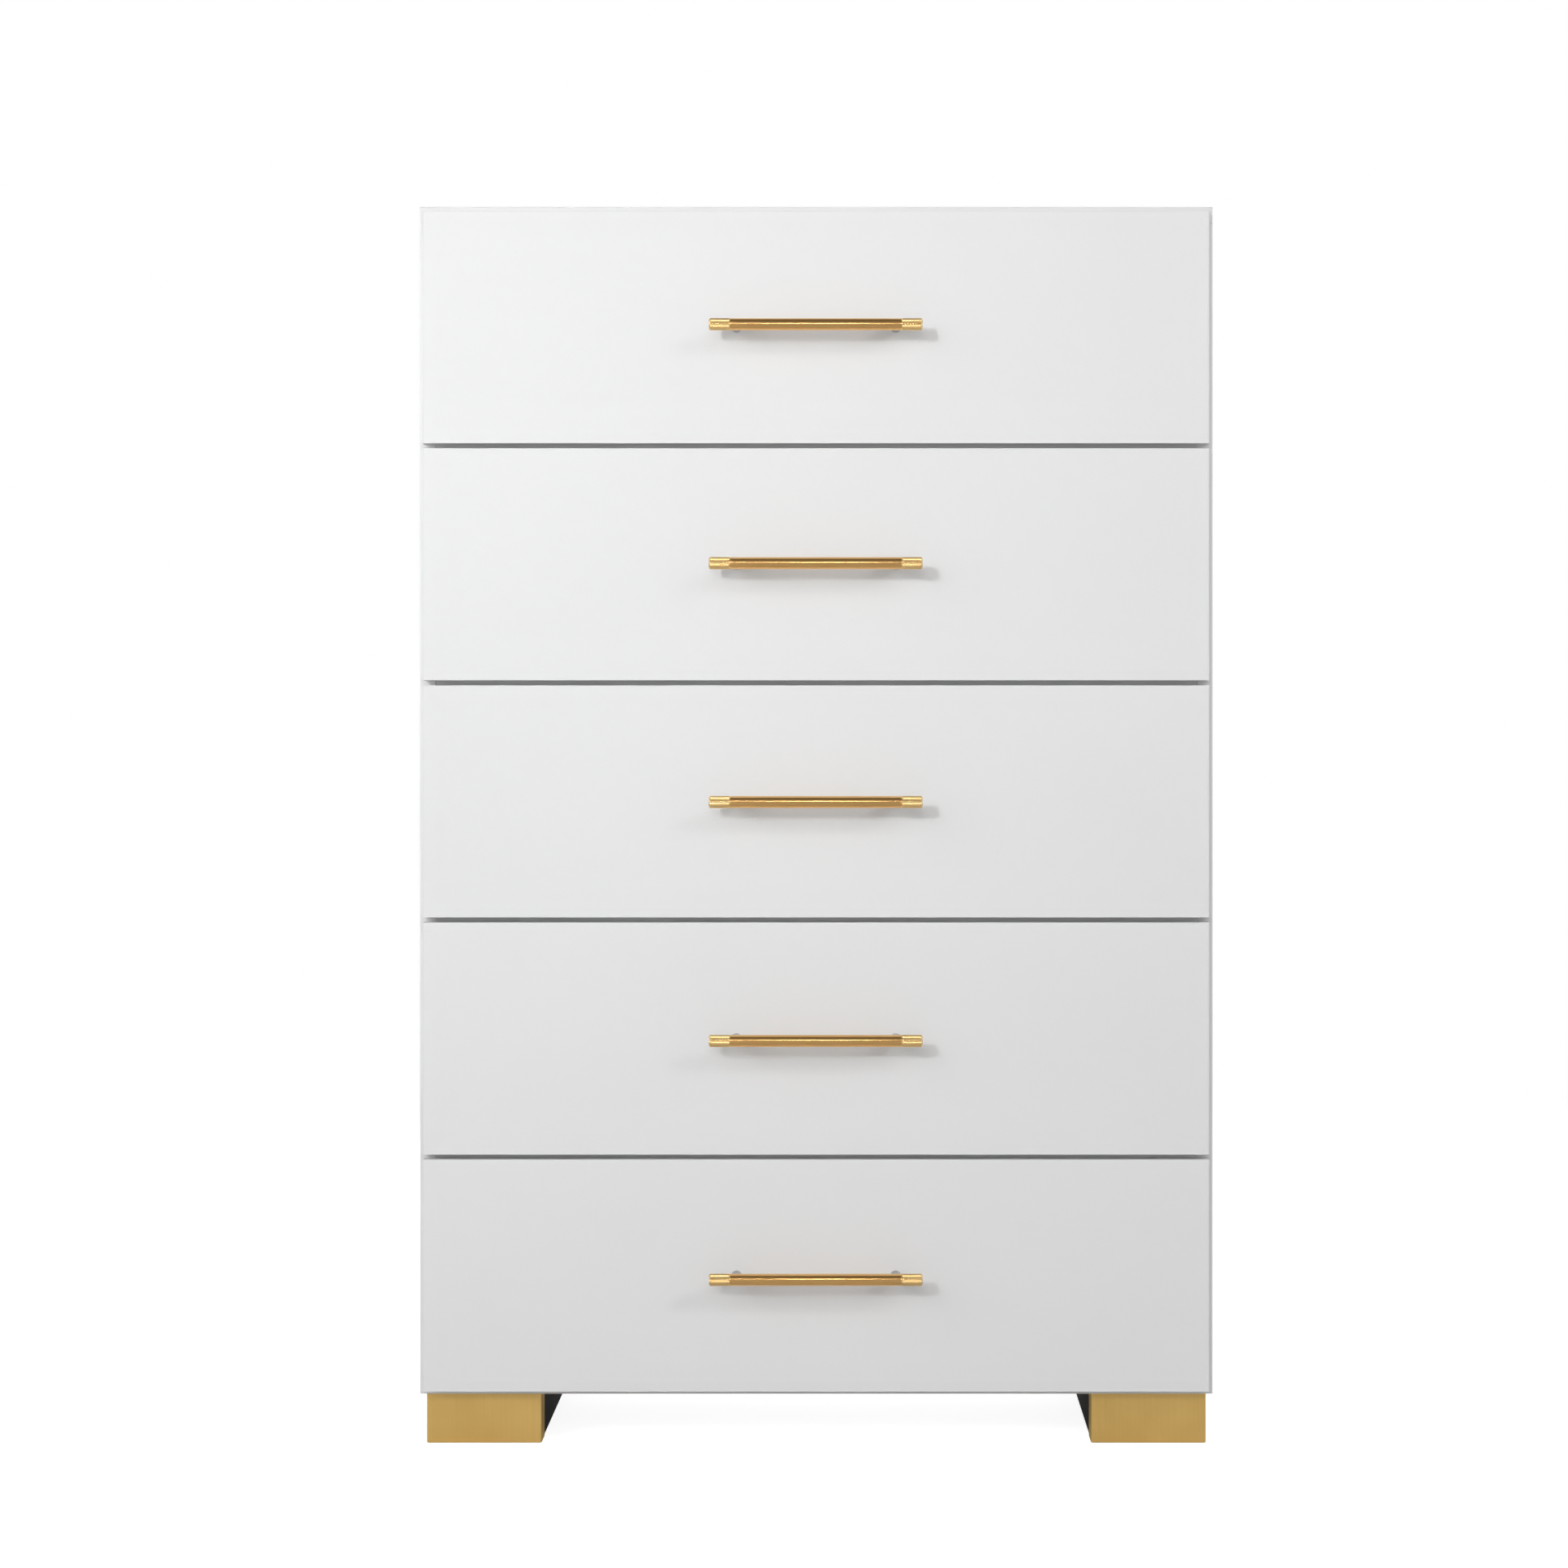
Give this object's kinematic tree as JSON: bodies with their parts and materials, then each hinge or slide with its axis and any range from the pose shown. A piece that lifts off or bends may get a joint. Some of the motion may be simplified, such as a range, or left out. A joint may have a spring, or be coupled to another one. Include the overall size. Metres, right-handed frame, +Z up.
{
  "type": "tall chest of drawers",
  "caption": "Tall white gloss chest of equal full-width drawers with gold bar pulls that have knurled ends, standing on gold-clad runner feet.",
  "frame": {"origin": "on the floor, midway across the width and midway between the tips of the pulls and the rear edges", "axes": "+X to the right as seen from the front, -Y out of the drawer fronts, +Z up"},
  "size_m": [0.8, 0.4362, 1.248],
  "materials": {
    "front_gloss_white": "high-gloss white lacquer on board",
    "carcass_white": "satin white laminate on board",
    "back_board": "white-faced hardboard",
    "drawer_box_board": "matt white laminate on board",
    "pull_gold": "satin champagne gold",
    "pull_steel": "satin nickel",
    "slide_steel": "zinc-plated",
    "foot_gold": "brushed gold sheet",
    "foot_black": "matt black board"
  },
  "bodies": {
    "cabinet": {"top_panel": "carcass_white", "bottom_panel": "carcass_white", "side_panel_left": "carcass_white", "side_panel_right": "carcass_white", "back_panel": "back_board", "cross_rails": "carcass_white", "foot_left": "foot_black", "foot_right": "foot_black", "foot_claddings": "foot_gold", "slide_cabinet_members": "slide_steel"},
    "drawer_1": {"drawer_1_front": "front_gloss_white", "drawer_1_side_left": "drawer_box_board", "drawer_1_side_right": "drawer_box_board", "drawer_1_back": "drawer_box_board", "drawer_1_bottom": "drawer_box_board", "pull_1_bar": "pull_gold", "pull_1_end_caps": "pull_gold", "pull_1_posts_and_screws": "pull_steel", "slide_1_drawer_members": "slide_steel"},
    "slide_1_middle": {"slide_1_middle_members": "slide_steel"},
    "drawer_2": {"drawer_2_front": "front_gloss_white", "drawer_2_side_left": "drawer_box_board", "drawer_2_side_right": "drawer_box_board", "drawer_2_back": "drawer_box_board", "drawer_2_bottom": "drawer_box_board", "pull_2_bar": "pull_gold", "pull_2_end_caps": "pull_gold", "pull_2_posts_and_screws": "pull_steel", "slide_2_drawer_members": "slide_steel"},
    "slide_2_middle": {"slide_2_middle_members": "slide_steel"},
    "drawer_3": {"drawer_3_front": "front_gloss_white", "drawer_3_side_left": "drawer_box_board", "drawer_3_side_right": "drawer_box_board", "drawer_3_back": "drawer_box_board", "drawer_3_bottom": "drawer_box_board", "pull_3_bar": "pull_gold", "pull_3_end_caps": "pull_gold", "pull_3_posts_and_screws": "pull_steel", "slide_3_drawer_members": "slide_steel"},
    "slide_3_middle": {"slide_3_middle_members": "slide_steel"},
    "drawer_4": {"drawer_4_front": "front_gloss_white", "drawer_4_side_left": "drawer_box_board", "drawer_4_side_right": "drawer_box_board", "drawer_4_back": "drawer_box_board", "drawer_4_bottom": "drawer_box_board", "pull_4_bar": "pull_gold", "pull_4_end_caps": "pull_gold", "pull_4_posts_and_screws": "pull_steel", "slide_4_drawer_members": "slide_steel"},
    "slide_4_middle": {"slide_4_middle_members": "slide_steel"},
    "drawer_5": {"drawer_5_front": "front_gloss_white", "drawer_5_side_left": "drawer_box_board", "drawer_5_side_right": "drawer_box_board", "drawer_5_back": "drawer_box_board", "drawer_5_bottom": "drawer_box_board", "pull_5_bar": "pull_gold", "pull_5_end_caps": "pull_gold", "pull_5_posts_and_screws": "pull_steel", "slide_5_drawer_members": "slide_steel"},
    "slide_5_middle": {"slide_5_middle_members": "slide_steel"}
  },
  "joints": [
    {"name": "drawer_1_slide", "type": "slide", "parent": "cabinet", "child": "drawer_1", "axis": [0, -1, 0], "range_m": [0, 0.34]},
    {"name": "slide_1_middle_slide", "type": "slide", "parent": "cabinet", "child": "slide_1_middle", "axis": [0, -1, 0], "range_m": [0, 0.17]},
    {"name": "drawer_2_slide", "type": "slide", "parent": "cabinet", "child": "drawer_2", "axis": [0, -1, 0], "range_m": [0, 0.34]},
    {"name": "slide_2_middle_slide", "type": "slide", "parent": "cabinet", "child": "slide_2_middle", "axis": [0, -1, 0], "range_m": [0, 0.17]},
    {"name": "drawer_3_slide", "type": "slide", "parent": "cabinet", "child": "drawer_3", "axis": [0, -1, 0], "range_m": [0, 0.34]},
    {"name": "slide_3_middle_slide", "type": "slide", "parent": "cabinet", "child": "slide_3_middle", "axis": [0, -1, 0], "range_m": [0, 0.17]},
    {"name": "drawer_4_slide", "type": "slide", "parent": "cabinet", "child": "drawer_4", "axis": [0, -1, 0], "range_m": [0, 0.34]},
    {"name": "slide_4_middle_slide", "type": "slide", "parent": "cabinet", "child": "slide_4_middle", "axis": [0, -1, 0], "range_m": [0, 0.17]},
    {"name": "drawer_5_slide", "type": "slide", "parent": "cabinet", "child": "drawer_5", "axis": [0, -1, 0], "range_m": [0, 0.34]},
    {"name": "slide_5_middle_slide", "type": "slide", "parent": "cabinet", "child": "slide_5_middle", "axis": [0, -1, 0], "range_m": [0, 0.17]}
  ],
  "couplings": [
    {"joint": "slide_1_middle_slide", "follows": "drawer_1_slide", "ratio": 0.5},
    {"joint": "slide_2_middle_slide", "follows": "drawer_2_slide", "ratio": 0.5},
    {"joint": "slide_3_middle_slide", "follows": "drawer_3_slide", "ratio": 0.5},
    {"joint": "slide_4_middle_slide", "follows": "drawer_4_slide", "ratio": 0.5},
    {"joint": "slide_5_middle_slide", "follows": "drawer_5_slide", "ratio": 0.5}
  ]
}
